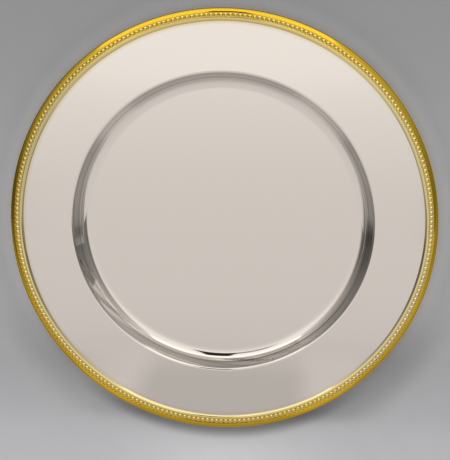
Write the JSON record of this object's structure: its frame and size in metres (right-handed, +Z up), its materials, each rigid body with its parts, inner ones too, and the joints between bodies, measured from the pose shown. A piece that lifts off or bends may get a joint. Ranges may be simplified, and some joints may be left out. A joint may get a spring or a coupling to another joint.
{
  "type": "charger plate",
  "caption": "Round mirror-polished metal charger plate with a shallow well, a broad flat rim and a gilt border carrying a row of small beads.",
  "frame": {"origin": "centre of the flat underside of the well, on which the plate rests", "axes": "+Z up along the plate's axis of revolution, out of the well; +X and +Y are any two square directions, because the plate is round"},
  "size_m": [0.33, 0.33, 0.0127],
  "materials": {
    "silver_plate": "mirror-polished silver plate",
    "gilt": "polished gold plate",
    "gilt_beads": "polished gold plate",
    "drawn_wire": "drawn wire, unpolished",
    "solder": "dull soft solder"
  },
  "bodies": {
    "root": {"plate_body": "silver_plate", "border_moulding": "gilt", "bead_strip": "gilt_beads", "edge_wire": "drawn_wire", "border_solder": "solder", "hem_solder": "solder"}
  },
  "joints": []
}
